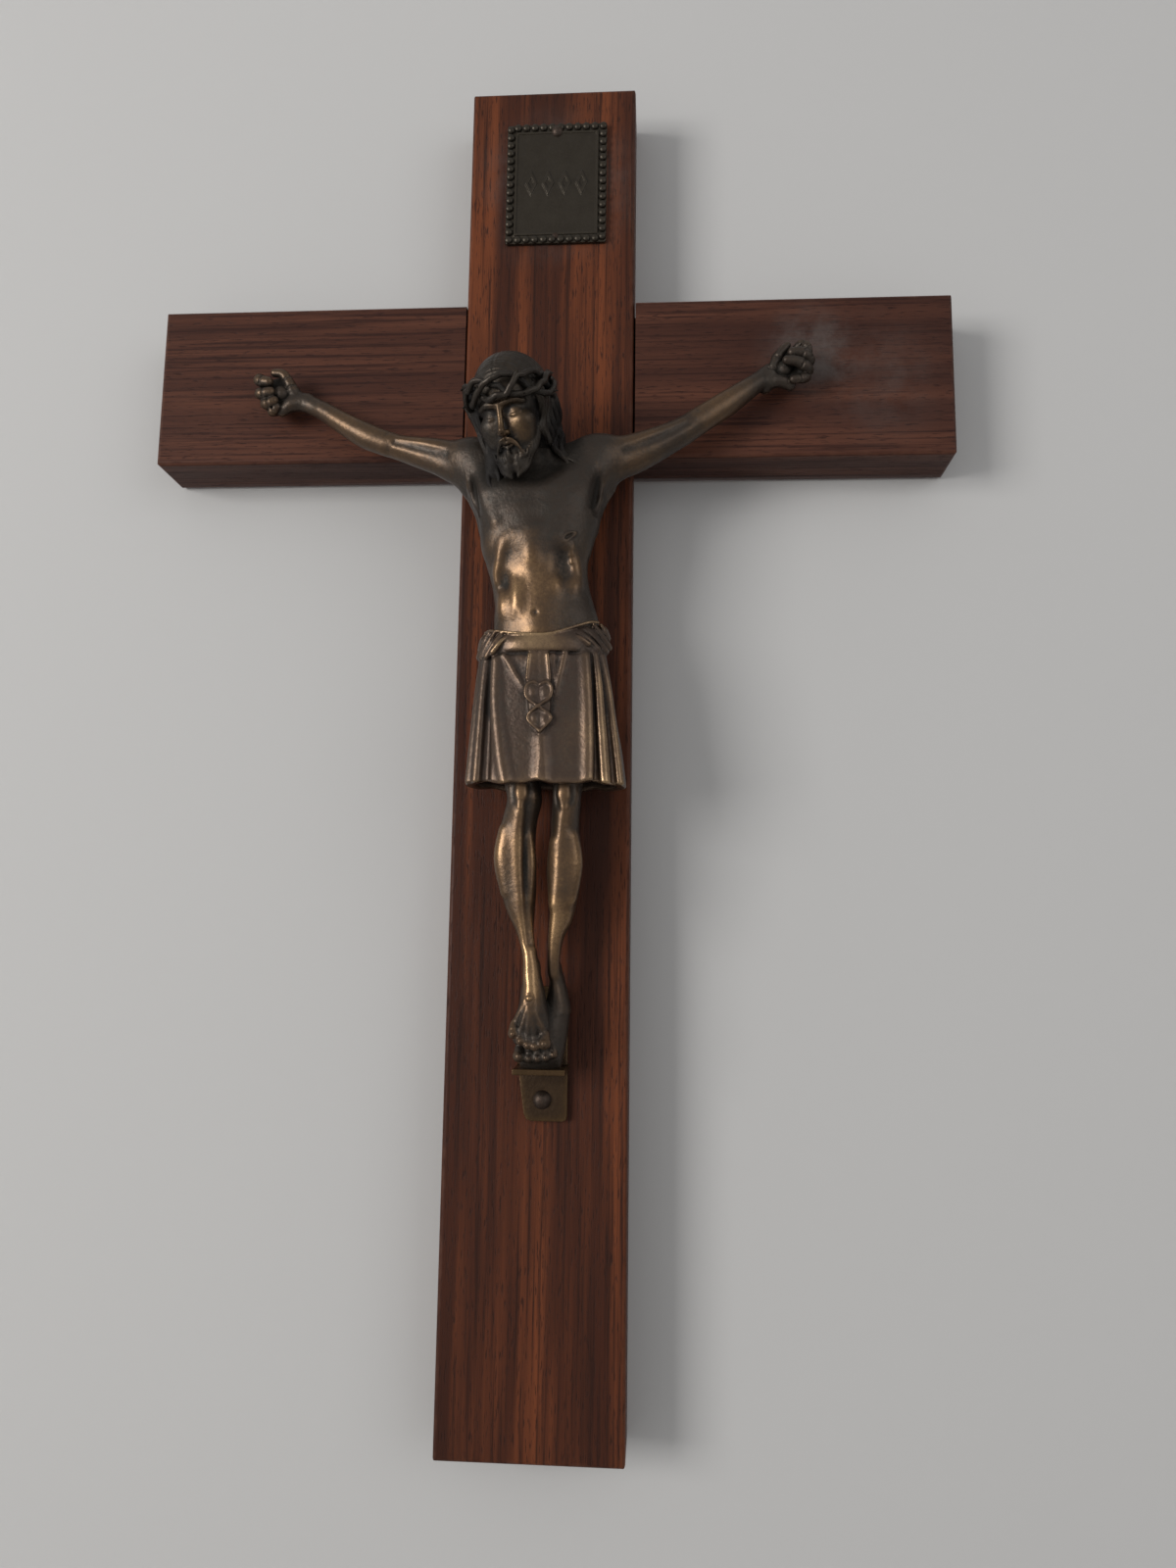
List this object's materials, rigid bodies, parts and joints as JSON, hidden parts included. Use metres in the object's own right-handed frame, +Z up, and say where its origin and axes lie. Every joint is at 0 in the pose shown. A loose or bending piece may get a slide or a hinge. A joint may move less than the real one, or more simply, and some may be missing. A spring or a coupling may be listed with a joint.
{
  "type": "wall crucifix",
  "caption": "Wall crucifix: lapped hardwood cross with a cast brass figure, title plate, foot rest and a keyhole hanger let into the back.",
  "frame": {"origin": "centre of the hanger plate's entry hole, on the back plane of the cross that lies on the wall", "axes": "+Z up along the upright, +Y into the wall, +X to the right of a person who looks at the figure"},
  "size_m": [0.24, 0.06, 0.4],
  "materials": {
    "dark_wood": "dark red-brown stained hardwood, satin",
    "figure_brass": "brown patina, rubbed golden on the high places",
    "dark_bronze": "nearly black patina",
    "bright_brass": "rubbed brass",
    "title_bronze": "dull olive-grey bronze sheet",
    "steel": "zinc-plated steel"
  },
  "bodies": {
    "root": {"upright": "dark_wood", "crossbar": "dark_wood", "lap_screws": "steel", "hanger_plate": "steel", "hanger_screws": "steel", "title_plate": "title_bronze", "title_nails": "dark_bronze", "torso": "figure_brass", "head": "figure_brass", "crown_of_thorns": "dark_bronze", "arm_left": "figure_brass", "arm_right": "figure_brass", "loincloth": "figure_brass", "legs": "figure_brass", "foot_rest": "bright_brass", "foot_nail": "dark_bronze", "hand_nails": "dark_bronze"}
  },
  "joints": []
}
